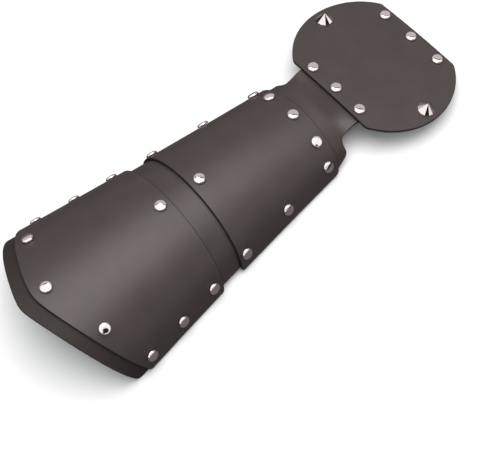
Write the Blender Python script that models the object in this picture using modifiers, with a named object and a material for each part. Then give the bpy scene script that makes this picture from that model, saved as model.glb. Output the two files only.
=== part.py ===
"""A studded leather bracer with a hand plate, lying on a table on its side edges.

One sheet of leather, bent into an open half sleeve, carries two curved plates, and a tongue
cut from the same sheet carries a hand plate out over the back of the hand. Dome rivets hold
the plates, two faceted cones decorate the hand plate, and two plain straps close the sleeve
underneath. Metres, +X from the elbow end to the fingers, +Z up, the table at z = 0.
"""

import math
from collections import namedtuple

import bmesh
import bpy
from mathutils import Matrix, Vector

# Leather and clearances
LEATHER = 0.0022
STRAP_LEATHER = 0.0020
GAP = 0.0003
BACK_SEAT = 0.0005

# Sleeve: inner widths between its side edges, and heights of its inner face
SLEEVE_LENGTH = 0.2670
ELBOW_WIDTH = 0.1539
MIDDLE_WIDTH = 0.1145
WRIST_WIDTH = 0.0834
ELBOW_RISE = 0.0571
MIDDLE_RISE = 0.0450
WRIST_RISE = 0.0276
EDGE_ANGLE = math.radians(89.0)
SLEEVE_FALL = 0.0347
SLEEVE_PEAK_SHARE = 0.05
SLEEVE_CORNER = 0.0045
WAIST_DEPTH = 0.0045
WAIST_LENGTH = 0.0400
WAIST_RUNOUT = 0.0300
CUFF_DEPTH = 0.0065
CUFF_RUNOUT = 0.0220

# Forearm plate, at the elbow end
FOREARM_REVEAL = 0.0114
FOREARM_LENGTH = 0.1187
FOREARM_FALL = 0.0340
FOREARM_PEAK_SHARE = 0.09
FOREARM_END_CURVE = 0.0068
FOREARM_CORNER = 0.0020

# Wrist plate
STRIP_BETWEEN = 0.0186
CUFF_REVEAL = 0.0097
WRIST_START_CURVE = 0.0055
WRIST_END_CURVE = 0.0045
WRIST_CORNER = 0.0040
PLATE_SIDE_INSET = 0.0014

# Tongue and hand plate
TONGUE_ROOT_WIDTH = 0.0640
TONGUE_END_WIDTH = 0.0720
TONGUE_COVER = 0.0030
HAND_LENGTH = 0.0979
HAND_WIDTH = 0.1363
HAND_END_RADIUS = 0.0578
HAND_CORNER_RADIUS = 0.0058
HAND_REACH = 0.0187
HAND_HEIGHT = 0.0219
HAND_PITCH = math.radians(7.6)
HAND_BOW_RADIUS = 0.8780

# Rivets and cones
RIVET_DIAMETER = 0.0095
RIVET_HEIGHT = 0.0024
BACK_DIAMETER = 0.0074
BACK_HEIGHT = 0.0009
POST_DIAMETER = 0.0030
HOLE_CLEARANCE = 0.0009
CONE_DIAMETER = 0.0136
CONE_HEIGHT = 0.0074
CONE_RIM = 0.0008
ELBOW_ROW_INSET = 0.0111
SEAM_ROW_INSET = 0.0087
SIDE_ROW_INSET = 0.0125
HAND_ROW_INSET = 0.0074
HAND_BACK_SPACING = 0.0263
HAND_FRONT_SPACING = 0.0295
CONE_INSET = 0.0104

# Closing straps
STRAP_WIDTH = 0.0200
STRAP_LAP_LENGTH = 0.0080
STRAP_LIFT = 0.0006
STRAP_BEND = 0.0050

# Fineness of the faceted solids
INNER_COLUMNS = 14
OUTER_COLUMNS = 6
SLEEVE_ROWS = 9
PLATE_ROWS = 4
TONGUE_BEND_ROWS = 5
TONGUE_FLAT_ROWS = 3
STRAP_ROWS = 2
ROUND_SIDES = 12
HOLE_SIDES = 8

# Half the step over which a face's slope is read, in metres or radians
PROBE = 0.001

SIDES = (("left", 1.0), ("right", -1.0))

Place = namedtuple("Place", "point normal")
Sheet = namedtuple("Sheet", "start end corner inset lift rows")
Plate = namedtuple("Plate", "sheet first_inset spots")
Stud = namedtuple("Stud", "name place grip")

# End 0 is a plate's edge on the elbow side, end 1 the one on the hand side. Across is the
# share of the way from the centre line to the row along the plate's side edge. Inset is the
# share of the row's usual distance from the end edge.
RivetSpot = namedtuple("RivetSpot", "label end across inset")
FOREARM_SPOTS = (
    RivetSpot("elbow_peak", 0.0, 0.0, 1.0),
    RivetSpot("elbow_mid", 0.0, 0.50, 1.0),
    RivetSpot("elbow_corner", 0.0, 1.0, 1.0),
    RivetSpot("side", 0.5, 1.0, 1.0),
    RivetSpot("seam_corner", 1.0, 1.0, 1.07),
    RivetSpot("seam_centre", 1.0, 0.0, 0.97),
)
WRIST_SPOTS = (
    RivetSpot("seam_centre", 0.0, 0.0, 1.0),
    RivetSpot("seam_corner", 0.0, 1.0, 0.80),
    RivetSpot("side", 0.5, 1.0, 1.0),
    RivetSpot("cuff_corner", 1.0, 1.0, 1.17),
    RivetSpot("cuff_mid", 1.0, 0.55, 1.0),
    RivetSpot("cuff_centre", 1.0, 0.0, 1.02),
)


def clear_scene():
    """Removes whatever the file opened with."""
    for item in list(bpy.data.objects):
        bpy.data.objects.remove(item, do_unlink=True)


def make_collection(name):
    """A new collection in the scene."""
    collection = bpy.data.collections.new(name)
    bpy.context.scene.collection.children.link(collection)
    return collection


def make_material(name, colour, roughness, metallic):
    """A plain Principled material."""
    material = bpy.data.materials.new(name)
    material.use_nodes = True
    shader = material.node_tree.nodes["Principled BSDF"]
    shader.inputs["Base Color"].default_value = (*colour, 1.0)
    shader.inputs["Roughness"].default_value = roughness
    shader.inputs["Metallic"].default_value = metallic
    return material


def leather(name):
    return make_material(name, (0.071, 0.056, 0.053), 0.42, 0.0)


def chrome(name):
    return make_material(name + "_chrome", (0.80, 0.79, 0.78), 0.12, 1.0)


def smooth_step(share):
    """Rises from 0 to 1 with level ends."""
    held = min(max(share, 0.0), 1.0)
    return held * held * (3.0 - 2.0 * held)


def through_three(first, middle, last, share):
    """A quadratic through three values, at shares 0, 0.5 and 1."""
    bulge = 4.0 * (middle - 0.5 * (first + last))
    return first + (last - first) * share + bulge * share * (1.0 - share)


def section_axes(along):
    """Half axes, across and up, of the ellipse whose arc is the sleeve's section there."""
    share = along / SLEEVE_LENGTH
    width = through_three(ELBOW_WIDTH, MIDDLE_WIDTH, WRIST_WIDTH, share)
    rise = through_three(ELBOW_RISE, MIDDLE_RISE, WRIST_RISE, share)
    return 0.5 * width / math.sin(EDGE_ANGLE), rise / (1.0 - math.cos(EDGE_ANGLE))


def sleeve_face(along, angle):
    """A point of the sleeve's inner face: angle 0 is the ridge, EDGE_ANGLE a side edge."""
    across, up = section_axes(along)
    height = up * (math.cos(angle) - math.cos(EDGE_ANGLE))
    return Vector((along, across * math.sin(angle), height))


def leather_per_radian(along):
    """Metres of leather to a radian of the section, at the side edge."""
    across, up = section_axes(along)
    return math.hypot(across * math.cos(EDGE_ANGLE), up * math.sin(EDGE_ANGLE))


def side_angle(along, inset):
    """The section angle that lies inset metres up the leather from the side edge."""
    return EDGE_ANGLE - inset / leather_per_radian(along)


def plate_inset(along):
    return PLATE_SIDE_INSET


def sleeve_inset(along):
    """The sleeve's side edge is drawn in a little between the two plates and at the cuff."""
    beyond = abs(along - strip_middle()) - 0.5 * WAIST_LENGTH
    waist = WAIST_DEPTH * smooth_step(1.0 - beyond / WAIST_RUNOUT)
    return waist + CUFF_DEPTH * smooth_step(1.0 - (SLEEVE_LENGTH - along) / CUFF_RUNOUT)


def strip_middle():
    """How far along the strip of sleeve between the two plates lies, at its side edge."""
    return 0.5 * (forearm_end(1.0) + wrist_start(1.0))


def tongue_root_angle():
    """The section angle where the tongue's edge leaves the sleeve."""
    return math.asin(0.5 * TONGUE_ROOT_WIDTH / section_axes(SLEEVE_LENGTH)[0])


def tongue_length():
    """From the sleeve's wrist end to the tongue's end, under the hand plate."""
    return HAND_REACH + HAND_LENGTH - TONGUE_COVER


def hand_face(forward, sideways):
    """The tongue's inner face under the hand plate, forward of the plate's first edge."""
    sag = sideways * sideways / (2.0 * HAND_BOW_RADIUS)
    start = SLEEVE_LENGTH + HAND_REACH
    along = start + forward * math.cos(HAND_PITCH) - sag * math.sin(HAND_PITCH)
    height = HAND_HEIGHT - forward * math.sin(HAND_PITCH) - sag * math.cos(HAND_PITCH)
    return Vector((along, sideways, height))


def tongue_face(forward, share):
    """The tongue's inner face, forward of the wrist end, with share -1 to 1 across it."""
    widening = (TONGUE_END_WIDTH - TONGUE_ROOT_WIDTH) * forward / tongue_length()
    sideways = 0.5 * share * (TONGUE_ROOT_WIDTH + widening)
    sleeve = sleeve_face(SLEEVE_LENGTH + forward, share * tongue_root_angle())
    hand = hand_face(forward - HAND_REACH, sideways)
    return sleeve.lerp(hand, smooth_step(forward / HAND_REACH))


def lifted(face, first, second, lift):
    """A point moved out from a face along its normal, and that normal."""
    ahead = face(first + PROBE, second) - face(first - PROBE, second)
    beside = face(first, second + PROBE) - face(first, second - PROBE)
    normal = ahead.cross(beside).normalized()
    return Place(face(first, second) + normal * lift, normal)


def plate_lift():
    """From the inner face of the sheet below to the inner face of a plate."""
    return LEATHER + GAP


def cap_lift():
    """From the inner face of the sheet below to the underside of a stud's cap."""
    return plate_lift() + LEATHER + GAP


def overall_length():
    """From the sleeve's peak to the outer corner of the hand plate's front edge."""
    return lifted(hand_face, HAND_LENGTH, 0.0, plate_lift() + LEATHER).point.x


def centred(point):
    """Moves a point so that the bracer's length lies evenly on both sides of the origin."""
    return Vector((point.x - 0.5 * overall_length(), point.y, point.z))


def peaked(fall, rounding, share):
    """How far a peaked edge has fallen back, at a share of the way to its side."""
    return fall * (math.hypot(share, rounding) - rounding) / (math.hypot(1.0, rounding) - rounding)


def sleeve_start(share):
    return peaked(SLEEVE_FALL, SLEEVE_PEAK_SHARE, share)


def sleeve_end(share):
    return SLEEVE_LENGTH


def forearm_start(share):
    return FOREARM_REVEAL + peaked(FOREARM_FALL, FOREARM_PEAK_SHARE, share)


def forearm_end(share):
    return FOREARM_REVEAL + FOREARM_LENGTH - FOREARM_END_CURVE * share * share


def wrist_start(share):
    return forearm_end(0.0) + STRIP_BETWEEN - WRIST_START_CURVE * share * share


def wrist_end(share):
    return SLEEVE_LENGTH - CUFF_REVEAL - WRIST_END_CURVE * share * share


SLEEVE = Sheet(sleeve_start, sleeve_end, SLEEVE_CORNER, sleeve_inset, 0.0, SLEEVE_ROWS)
FOREARM = Sheet(
    forearm_start, forearm_end, FOREARM_CORNER, plate_inset, plate_lift(), PLATE_ROWS
)
WRIST = Sheet(wrist_start, wrist_end, WRIST_CORNER, plate_inset, plate_lift(), PLATE_ROWS)
FOREARM_PLATE = Plate(FOREARM, ELBOW_ROW_INSET, FOREARM_SPOTS)
WRIST_PLATE = Plate(WRIST, SEAM_ROW_INSET, WRIST_SPOTS)


def corner_cut(radius, from_side):
    """How far a rounded corner draws an end edge in, this far from the side edge."""
    inside = radius - min(max(from_side, 0.0), radius)
    return radius - math.sqrt(radius * radius - inside * inside)


def half_columns(sheet):
    """Shares of the way from the ridge to a side edge, closer together at the corners."""
    root = tongue_root_angle() / EDGE_ANGLE
    middle = 0.5 * (sheet.start(1.0) + sheet.end(1.0))
    corner = 1.0 - sheet.corner / (leather_per_radian(middle) * EDGE_ANGLE)
    inner = [root * step / (INNER_COLUMNS // 2) for step in range(INNER_COLUMNS // 2 + 1)]
    outer = [root + (1.0 - root) * step / OUTER_COLUMNS for step in range(1, OUTER_COLUMNS)]
    kept = [share for share in inner + outer if share < corner - 0.02]
    return kept + [corner, 1.0 - 0.3 * (1.0 - corner), 1.0]


def sheet_grid(sheet, shares):
    """Rows of points of a sheet's inner face, between its start and end edges."""
    grid = [[] for _ in range(sheet.rows + 1)]
    for share in shares:
        held = min(abs(share), 1.0)
        first = sheet.start(held)
        last = sheet.end(held)
        outside = (1.0 - held) * EDGE_ANGLE
        first += corner_cut(sheet.corner, outside * leather_per_radian(first))
        last -= corner_cut(sheet.corner, outside * leather_per_radian(last))
        for row, line in enumerate(grid):
            along = first + (last - first) * row / sheet.rows
            angle = share * side_angle(along, sheet.inset(along))
            line.append(lifted(sleeve_face, along, angle, sheet.lift).point)
    return grid


def both_ways(half):
    """Shares from one side edge to the other."""
    return [-share for share in reversed(half[1:])] + half


def bridge(bm, lower, upper):
    """Faces between two rows of vertices, facing away from the forearm."""
    for left in range(len(lower) - 1):
        bm.faces.new((lower[left], upper[left], upper[left + 1], lower[left + 1]))


def new_row(bm, points):
    return [bm.verts.new(centred(point)) for point in points]


def add_object(bm, name, collection, material):
    """An object of this mesh, in the collection."""
    mesh = bpy.data.meshes.new(name)
    bm.to_mesh(mesh)
    bm.free()
    item = bpy.data.objects.new(name, mesh)
    collection.objects.link(item)
    if material:
        mesh.materials.append(material)
    return item


def thicken(item, thickness, offset):
    """Gives an open surface its leather: offset 1 lays it all on the outer side."""
    shell = item.modifiers.new("leather", "SOLIDIFY")
    shell.thickness = thickness
    shell.offset = offset
    shell.use_even_offset = True
    shell.use_quality_normals = True


def cut_with(item, cutter):
    """Takes the cutter's shape away from the object."""
    cut = item.modifiers.new(cutter.name, "BOOLEAN")
    cut.operation = "DIFFERENCE"
    cut.solver = "EXACT"
    cut.object = cutter


def build_sleeve(collection):
    """The half sleeve, and the tongue that goes on from its middle columns."""
    overhang = LEATHER / (leather_per_radian(0.5 * SLEEVE_LENGTH) * EDGE_ANGLE)
    half = half_columns(SLEEVE) + [1.0 + overhang]
    shares = both_ways(half)
    bm = bmesh.new()
    rows = [new_row(bm, line) for line in sheet_grid(SLEEVE, shares)]
    for lower, upper in zip(rows, rows[1:]):
        bridge(bm, lower, upper)
    root = tongue_root_angle() / EDGE_ANGLE
    middle = [index for index, share in enumerate(shares) if abs(share) < root + 1e-6]
    last = [rows[-1][index] for index in middle]
    for forward in tongue_rows():
        points = [tongue_face(forward, shares[index] / root) for index in middle]
        row = new_row(bm, points)
        bridge(bm, last, row)
        last = row
    sleeve = add_object(bm, "base_sleeve", collection, leather("sleeve_leather"))
    thicken(sleeve, LEATHER, 1.0)
    return sleeve


def tongue_rows():
    """Where the tongue's rows lie, closer together in its bend than under the plate."""
    bend = [HAND_REACH * step / TONGUE_BEND_ROWS for step in range(1, TONGUE_BEND_ROWS + 1)]
    covered = tongue_length() - HAND_REACH
    flat = [HAND_REACH + covered * step / TONGUE_FLAT_ROWS for step in range(1, TONGUE_FLAT_ROWS + 1)]
    return bend + flat


def build_plate(name, sheet, collection):
    """A curved plate over the sleeve."""
    bm = bmesh.new()
    rows = [new_row(bm, line) for line in sheet_grid(sheet, both_ways(half_columns(sheet)))]
    for lower, upper in zip(rows, rows[1:]):
        bridge(bm, lower, upper)
    plate = add_object(bm, name, collection, leather(name + "_leather"))
    thicken(plate, LEATHER, 1.0)
    return plate


def hand_quarter():
    """A quarter of the hand plate's outline, from a straight edge's middle to one end."""
    half_length = 0.5 * HAND_LENGTH
    end_centre = 0.5 * HAND_WIDTH - HAND_END_RADIUS
    corner_forward = half_length - HAND_CORNER_RADIUS
    corner_out = math.sqrt((HAND_END_RADIUS - HAND_CORNER_RADIUS) ** 2 - corner_forward**2)
    corner_side = end_centre + corner_out
    turn = math.atan2(corner_out, corner_forward)
    outline = [(half_length, corner_side * step / 2) for step in range(2)]
    for step in range(3):
        angle = turn * step / 3
        forward = corner_forward + HAND_CORNER_RADIUS * math.cos(angle)
        outline.append((forward, corner_side + HAND_CORNER_RADIUS * math.sin(angle)))
    for step in range(6):
        angle = turn + (0.5 * math.pi - turn) * step / 5
        forward = HAND_END_RADIUS * math.cos(angle)
        outline.append((forward, end_centre + HAND_END_RADIUS * math.sin(angle)))
    return outline


def hand_outline():
    """The whole outline, as (forward, sideways) from the plate's middle, anticlockwise."""
    front = hand_quarter()
    left = front + [(-forward, side) for forward, side in reversed(front[:-1])]
    return left + [(forward, -side) for forward, side in reversed(left[1:-1])]


def build_hand_plate(collection):
    """The hand plate: rings of its outline round its middle, bowed with the tongue."""
    bm = bmesh.new()

    def vertex(forward, sideways):
        place = lifted(hand_face, 0.5 * HAND_LENGTH + forward, sideways, plate_lift())
        return bm.verts.new(centred(place.point))

    outline = hand_outline()
    middle = vertex(0.0, 0.0)
    rings = []
    for share in (0.4, 0.75, 1.0):
        rings.append([vertex(forward * share, side * share) for forward, side in outline])
    for index in range(len(outline)):
        following = (index + 1) % len(outline)
        bm.faces.new((middle, rings[0][index], rings[0][following]))
        for inner, outer in zip(rings, rings[1:]):
            bm.faces.new((inner[index], outer[index], outer[following], inner[following]))
    plate = add_object(bm, "hand_plate", collection, leather("hand_plate_leather"))
    thicken(plate, LEATHER, 1.0)
    return plate


def row_angle(along, across):
    """The section angle of a rivet, at a share of the way to the row at the side edge."""
    return across * side_angle(along, PLATE_SIDE_INSET + SIDE_ROW_INSET)


def row_along(edge, across, inset):
    """How far along a rivet lies, inset from a plate's end edge."""
    near = edge(across)
    return edge(row_angle(near, across) / side_angle(near, PLATE_SIDE_INSET)) + inset


def spot_along(plate, spot):
    """How far along a plate's rivet lies: one between the ends shares out its two corners."""
    if spot.end == 0.0:
        return row_along(plate.sheet.start, spot.across, plate.first_inset * spot.inset)
    if spot.end == 1.0:
        return row_along(plate.sheet.end, spot.across, -SEAM_ROW_INSET * spot.inset)
    corners = [other for other in plate.spots if other.across == 1.0 and other.end in (0.0, 1.0)]
    first, last = [spot_along(plate, corner) for corner in corners]
    return first + (last - first) * spot.end


def side_spot(plate):
    """The spot of the rivet halfway along a plate's side, which also holds its strap."""
    return next(spot for spot in plate.spots if spot.label == "side")


def sided(label, across):
    """One name and sign for a stud on the centre line, two for a pair."""
    if across == 0.0:
        return [(label, 1.0)]
    return [(label + "_" + side, sign) for side, sign in SIDES]


def plate_studs(prefix, plate):
    """The rivets of one plate, each with what it grips."""
    studs = []
    for spot in plate.spots:
        along = spot_along(plate, spot)
        angle = row_angle(along, spot.across)
        grip = cap_lift() + BACK_SEAT
        if spot.label == "side":
            grip += GAP + STRAP_LEATHER
        for name, sign in sided(prefix + "_rivet_" + spot.label, spot.across):
            place = lifted(sleeve_face, along, sign * angle, cap_lift())
            studs.append(Stud(name, place, grip))
    return studs


def hand_studs():
    """The hand plate's rivets, through the tongue, in two rows."""
    rows = (
        ("back", HAND_ROW_INSET, HAND_BACK_SPACING),
        ("front", HAND_LENGTH - HAND_ROW_INSET, HAND_FRONT_SPACING),
    )
    studs = []
    for label, forward, spacing in rows:
        for spot, sideways in (("centre", 0.0), ("corner", spacing)):
            for name, sign in sided("hand_rivet_" + label + "_" + spot, sideways):
                place = lifted(hand_face, forward, sign * sideways, cap_lift())
                studs.append(Stud(name, place, cap_lift() + BACK_SEAT))
    return studs


def cone_studs():
    """The two cones, through the hand plate alone."""
    studs = []
    for name, sign in sided("hand_cone", 1.0):
        sideways = sign * (0.5 * HAND_WIDTH - CONE_INSET)
        place = lifted(hand_face, 0.5 * HAND_LENGTH, sideways, cap_lift())
        studs.append(Stud(name, place, GAP + LEATHER + BACK_SEAT))
    return studs


def post_profile(grip):
    """The post and the back cap, down from the underside of the cap."""
    post = 0.5 * POST_DIAMETER
    back = 0.5 * BACK_DIAMETER
    foot = -grip - BACK_HEIGHT
    return [(post, 0.0), (post, -grip), (back, -grip), (0.8 * back, foot), (0.0, foot)]


def rivet_profile(grip):
    """A domed cap on its post, from the top down."""
    cap = 0.5 * RIVET_DIAMETER
    dome = [(0.0, 1.0), (0.60, 0.87), (0.93, 0.45), (1.0, 0.0)]
    return [(cap * out, RIVET_HEIGHT * up) for out, up in dome] + post_profile(grip)


def cone_profile(grip):
    """A pointed cone on its post, from the tip down."""
    rim = 0.5 * CONE_DIAMETER
    return [(0.0, CONE_HEIGHT), (rim, CONE_RIM), (rim, 0.0)] + post_profile(grip)


def turned_object(name, profile, collection, material, smooth):
    """A profile of (out, up) points turned round its own Z."""
    bm = bmesh.new()
    verts = [bm.verts.new((out, 0.0, up)) for out, up in profile]
    for upper, lower in zip(verts, verts[1:]):
        bm.edges.new((upper, lower))
    item = add_object(bm, name, collection, material)
    turn = item.modifiers.new("turned", "SCREW")
    turn.steps = ROUND_SIDES
    turn.render_steps = ROUND_SIDES
    turn.use_merge_vertices = True
    turn.merge_threshold = 0.00001
    turn.use_smooth_shade = smooth
    return item


def stand_on(place):
    """The matrix that sets a stud's own Z along the leather's normal."""
    turn = place.normal.to_track_quat("Z", "Y").to_matrix().to_4x4()
    return Matrix.Translation(centred(place.point)) @ turn


def build_studs(studs, profile, collection, smooth):
    for stud in studs:
        item = turned_object(stud.name, profile(stud.grip), collection, chrome(stud.name), smooth)
        item.matrix_world = stand_on(stud.place)


def strap_path(along, angle_top):
    """Half of a strap's middle surface: down the wall, round the bend, in to the centre."""
    middle = 0.5 * STRAP_LEATHER
    floor = STRAP_LIFT + middle
    across, up = section_axes(along)
    angle_low = math.acos((floor + STRAP_BEND) / up + math.cos(EDGE_ANGLE))
    points = []
    for step in range(4):
        angle = angle_top + (angle_low - angle_top) * step / 3
        points.append(lifted(sleeve_face, along, angle, -GAP - middle).point)
    wall = points[-1]
    ahead = sleeve_face(along, angle_low + PROBE)
    slope = (ahead - sleeve_face(along, angle_low - PROBE)).normalized()
    corner = wall + slope * ((wall.z - floor) / -slope.z)
    landing = Vector((along, corner.y - STRAP_BEND, floor))
    for share in (0.35, 0.7, 1.0):
        points.append(wall.lerp(corner, share).lerp(corner.lerp(landing, share), share))
    points.append(Vector((along, 0.0, floor)))
    return points


def build_strap(name, plate, collection):
    """A plain strap from one side rivet of a plate, under the forearm, to the other."""
    centre = spot_along(plate, side_spot(plate))
    held_angle = row_angle(centre, 1.0)
    bm = bmesh.new()
    last = None
    for step in range(STRAP_ROWS + 1):
        along = centre + STRAP_WIDTH * (step / STRAP_ROWS - 0.5)
        angle_top = held_angle - STRAP_LAP_LENGTH / leather_per_radian(along)
        left = strap_path(along, angle_top)
        right = [Vector((point.x, -point.y, point.z)) for point in left[:-1]]
        row = new_row(bm, right + left[::-1])
        if last:
            bridge(bm, last, row)
        last = row
    strap = add_object(bm, name, collection, leather(name + "_leather"))
    thicken(strap, STRAP_LEATHER, 0.0)
    return strap


def build_hole_cutter(studs, collection):
    """One short rod through the leather for each stud, all in one cutter."""
    bm = bmesh.new()
    radius = 0.5 * (POST_DIAMETER + HOLE_CLEARANCE)
    depth = 2.0 * (cap_lift() + STRAP_LEATHER)
    for stud in studs:
        middle = Place(stud.place.point - stud.place.normal * cap_lift(), stud.place.normal)
        bmesh.ops.create_cone(
            bm,
            cap_ends=True,
            segments=HOLE_SIDES,
            radius1=radius,
            radius2=radius,
            depth=depth,
            matrix=stand_on(middle),
        )
    return hidden(add_object(bm, "rivet_holes", collection, None))


def build_table_cutter(collection):
    """A block below the table, which trims the sleeve's side edges flat."""
    bm = bmesh.new()
    depth = 0.02
    size = Matrix.Diagonal((2.0 * SLEEVE_LENGTH, 2.0 * ELBOW_WIDTH, depth, 1.0))
    bmesh.ops.create_cube(bm, size=1.0, matrix=Matrix.Translation((0.0, 0.0, -0.5 * depth)) @ size)
    return hidden(add_object(bm, "table_trim", collection, None))


def hidden(cutter):
    cutter.hide_render = True
    cutter.display_type = "WIRE"
    return cutter


def main():
    clear_scene()
    bracer = make_collection("leather_bracer")
    cutters = make_collection("cutters")

    sleeve = build_sleeve(bracer)
    sheets = [
        sleeve,
        build_plate("forearm_plate", FOREARM, bracer),
        build_plate("wrist_plate", WRIST, bracer),
        build_hand_plate(bracer),
        build_strap("elbow_strap", FOREARM_PLATE, bracer),
        build_strap("wrist_strap", WRIST_PLATE, bracer),
    ]
    rivets = plate_studs("forearm", FOREARM_PLATE)
    rivets += plate_studs("wrist", WRIST_PLATE)
    rivets += hand_studs()
    cones = cone_studs()
    build_studs(rivets, rivet_profile, bracer, smooth=True)
    build_studs(cones, cone_profile, bracer, smooth=False)

    holes = build_hole_cutter(rivets + cones, cutters)
    for sheet in sheets:
        cut_with(sheet, holes)
    cut_with(sleeve, build_table_cutter(cutters))


main()
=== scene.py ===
"""Dresses the leather bracer and sets it in a plain studio.

Fine leather sheets with rounded cut edges stand for the sleeve, the plates and the straps of
the solid model, and smooth chrome rivets and faceted cones stand for its studs. Sizes are in
metres, in the model's own frame: +X from the elbow end to the fingers, +Y to the left side,
+Z up, the table at z = 0. A distance called along starts at the sleeve's elbow peak.
"""

from __future__ import annotations

import logging
import math
from dataclasses import dataclass
from enum import Enum, IntEnum
from typing import Callable, ClassVar, Sequence

import bmesh
import bpy
from mathutils import Matrix, Vector


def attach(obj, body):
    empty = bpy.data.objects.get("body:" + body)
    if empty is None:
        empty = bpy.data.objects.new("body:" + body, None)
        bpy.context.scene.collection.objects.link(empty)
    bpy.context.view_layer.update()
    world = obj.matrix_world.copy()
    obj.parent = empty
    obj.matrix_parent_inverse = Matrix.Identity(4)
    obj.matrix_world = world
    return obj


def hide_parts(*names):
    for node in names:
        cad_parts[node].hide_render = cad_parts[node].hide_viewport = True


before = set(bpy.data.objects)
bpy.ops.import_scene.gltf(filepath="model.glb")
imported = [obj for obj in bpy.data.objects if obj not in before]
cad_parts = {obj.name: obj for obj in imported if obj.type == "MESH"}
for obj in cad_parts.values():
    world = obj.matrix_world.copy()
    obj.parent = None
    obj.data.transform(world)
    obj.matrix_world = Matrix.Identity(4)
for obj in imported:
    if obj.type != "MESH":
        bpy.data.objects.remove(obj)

LOG = logging.getLogger("bracer")
BODY = "root"

# PROBE is the step over which a surface's slope is read, and TINY a difference of no account
PROBE = 0.001
TINY = 1e-6

BMesh = bmesh.types.BMesh
Item = bpy.types.Object
Tree = bpy.types.NodeTree
Socket = bpy.types.NodeSocket
Triple = tuple[float, float, float]
Surface = Callable[[float, float], Vector]
Edge = Callable[[float], float]
Profile = Sequence[tuple[float, float]]


class Slot(str, Enum):
    """The finishes that the record names."""

    LEATHER = "dark_leather"
    STRAP = "strap_leather"
    RIVET = "rivet_chrome"
    CONE = "cone_chrome"


class LeatherPart(IntEnum):
    """The kinds of surface of a leather sheet, as material places of its mesh."""

    GRAIN = 0
    FLESH = 1
    CUT_EDGE = 2
    # The last place holds the grain near the elbow rim in a darker leather: painted shade, not a
    # different leather.
    SHADE_PAINTED = 3


@dataclass(frozen=True)
class Place:
    """A point on the leather and the direction straight out of it."""

    point: Vector
    normal: Vector


# Curves and small sums


def smooth_step(share: float) -> float:
    """Rises from 0 to 1 with level ends."""
    held = min(max(share, 0.0), 1.0)
    return held * held * (3.0 - 2.0 * held)


def through_three(values: Triple, share: float) -> float:
    """A quadratic through three values.

    Args:
        values: the values at shares 0, 0.5 and 1.
        share: where to read it.

    Returns:
        The value there.
    """
    first, middle, last = values
    bulge = 4.0 * (middle - 0.5 * (first + last))
    return first + (last - first) * share + bulge * share * (1.0 - share)


def peaked(fall: float, rounding: float, share: float) -> float:
    """How far a pointed edge has fallen back on its way to the side.

    Args:
        fall: how far it has fallen at the side.
        rounding: how blunt its point is, as a share of the way.
        share: the share of the way to the side.

    Returns:
        The fall there, in metres.
    """
    reach = math.hypot(share, rounding) - rounding
    return fall * reach / (math.hypot(1.0, rounding) - rounding)


def corner_cut(radius: float, from_side: float) -> float:
    """How far a rounded corner draws an end edge in, this far from the side edge."""
    inside = radius - min(max(from_side, 0.0), radius)
    return radius - math.sqrt(radius * radius - inside * inside)


def evenly(first: float, last: float, step: float) -> list[float]:
    """Even values from first to last, no further apart than step."""
    count = max(1, math.ceil(abs(last - first) / step))
    return [first + (last - first) * index / count for index in range(count + 1)]


def quarter_turn(step: int, steps: int) -> float:
    """The angle after so many steps of a quarter turn."""
    return 0.5 * math.pi * step / steps


def lifted(face: Surface, first: float, second: float, lift: float) -> Place:
    """A point moved out from a surface along its normal.

    Args:
        face: the surface, by its two parameters.
        first: the parameter that runs towards the fingers.
        second: the parameter that runs towards +Y.
        lift: how far out the point lies.

    Returns:
        The moved point with the normal there.
    """
    ahead = face(first + PROBE, second) - face(first - PROBE, second)
    beside = face(first, second + PROBE) - face(first, second - PROBE)
    normal = ahead.cross(beside).normalized()
    return Place(face(first, second) + normal * lift, normal)


# The shapes that every sheet follows


@dataclass(frozen=True)
class SleeveForm:
    """The bent surface of the sleeve's inner face: angle 0 is its ridge."""

    length: float = 0.2670
    widths: Triple = (0.1539, 0.1145, 0.0834)
    rises: Triple = (0.0571, 0.0450, 0.0276)
    edge_angle: float = math.radians(89.0)

    def axes(self, along: float) -> tuple[float, float]:
        """The ellipse that the section at one place is part of.

        Args:
            along: the distance from the elbow peak.

        Returns:
            Its half axes, across and up.
        """
        share = along / self.length
        across = 0.5 * through_three(self.widths, share) / math.sin(self.edge_angle)
        return across, through_three(self.rises, share) / (1.0 - math.cos(self.edge_angle))

    def face(self, along: float, angle: float) -> Vector:
        """A point of the inner face.

        Args:
            along: the distance from the elbow peak.
            angle: the section angle, which grows towards +Y.

        Returns:
            The point.
        """
        across, up = self.axes(along)
        height = up * (math.cos(angle) - math.cos(self.edge_angle))
        return Vector((along, across * math.sin(angle), height))

    def leather_per_radian(self, along: float) -> float:
        """Metres of leather to a radian of the section, at the side edge."""
        across, up = self.axes(along)
        return math.hypot(across * math.cos(self.edge_angle), up * math.sin(self.edge_angle))

    def side_angle(self, along: float, inset: float) -> float:
        """The angle that lies inset metres up the leather from the side edge."""
        return self.edge_angle - inset / self.leather_per_radian(along)


@dataclass(frozen=True)
class HandForm:
    """The slightly bowed surface of the tongue under the hand plate."""

    start: float = 0.2857
    height: float = 0.0219
    pitch: float = math.radians(7.6)
    bow_radius: float = 0.8780
    plate_length: float = 0.0979
    plate_width: float = 0.1363

    def face(self, forward: float, sideways: float) -> Vector:
        """A point of the tongue's inner face.

        Args:
            forward: the distance from the hand plate's first edge, towards the fingers.
            sideways: the distance from the centre line, towards +Y.

        Returns:
            The point.
        """
        sag = sideways * sideways / (2.0 * self.bow_radius)
        along = self.start + forward * math.cos(self.pitch) - sag * math.sin(self.pitch)
        height = self.height - forward * math.sin(self.pitch) - sag * math.cos(self.pitch)
        return Vector((along, sideways, height))


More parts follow.
